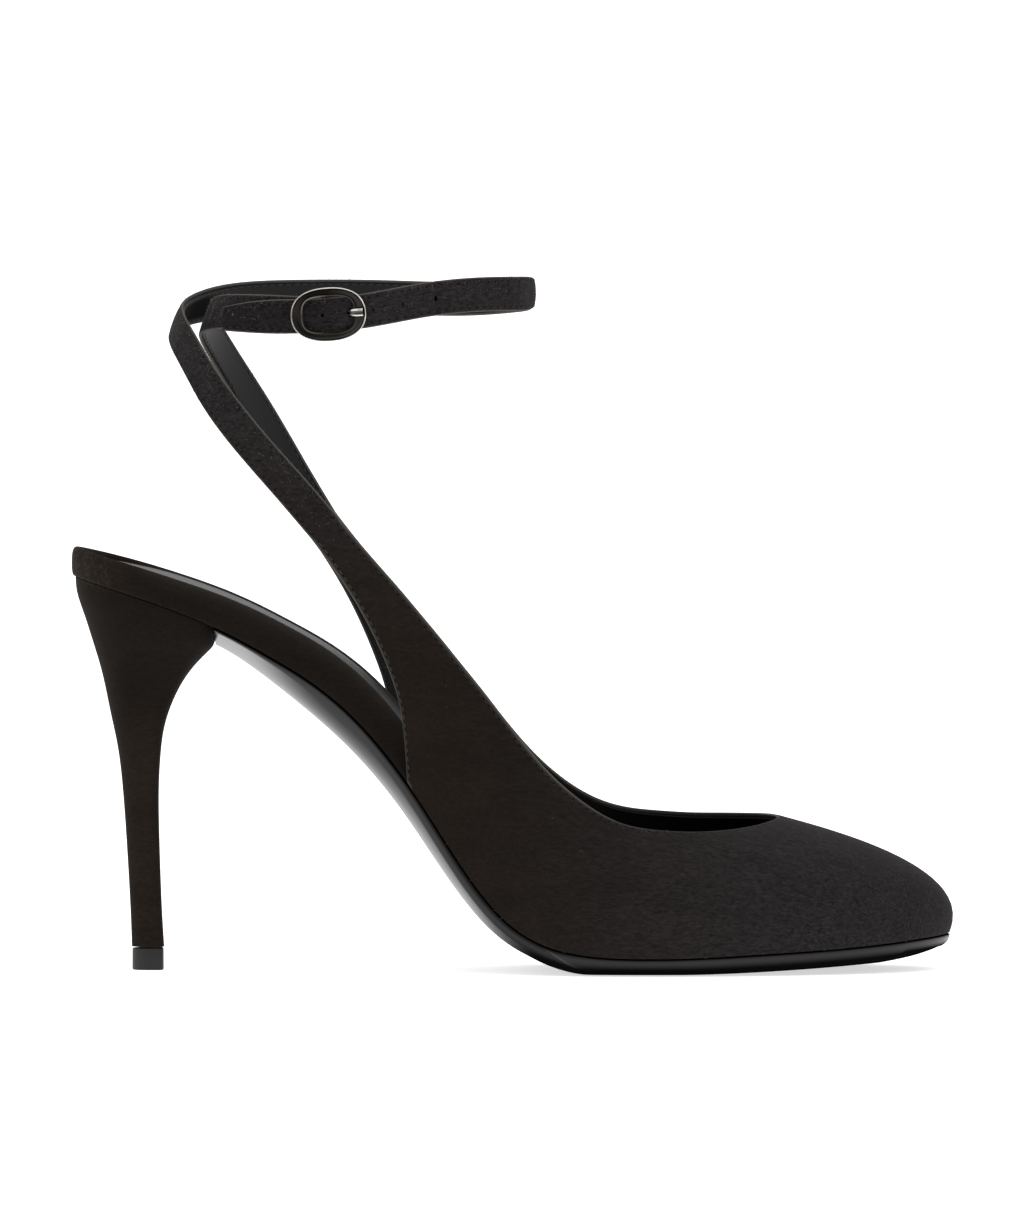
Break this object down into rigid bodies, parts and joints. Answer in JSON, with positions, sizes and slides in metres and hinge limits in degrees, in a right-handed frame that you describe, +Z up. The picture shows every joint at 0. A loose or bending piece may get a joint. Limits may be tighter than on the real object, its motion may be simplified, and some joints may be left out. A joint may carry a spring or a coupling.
{
  "type": "round toe high heel",
  "caption": "Round-toe pump on a slim covered heel, open at the back, with narrow ankle straps that cross behind the heel and close with an oval buckle.",
  "frame": {"origin": "middle of the shoe's outer box at floor level", "axes": "+X from the heel to the toe, +Y to the inner side of the foot, +Z up from the floor"},
  "size_m": [0.2152, 0.0776, 0.1695],
  "materials": {
    "suede": "black suede with a short nap",
    "sole_leather": "polished black sole",
    "sock_leather": "smooth satin lining leather",
    "tip_rubber": "matt rubber",
    "dark_nickel": "polished dark nickel plate"
  },
  "bodies": {
    "root": {"outsole": "sole_leather", "insole": "suede", "sock_lining": "sock_leather", "heel": "suede", "heel_tip": "tip_rubber", "upper": "suede", "ankle_strap_long": "suede", "ankle_strap_short": "suede", "buckle_frame": "dark_nickel", "buckle_prong": "dark_nickel"}
  },
  "joints": []
}
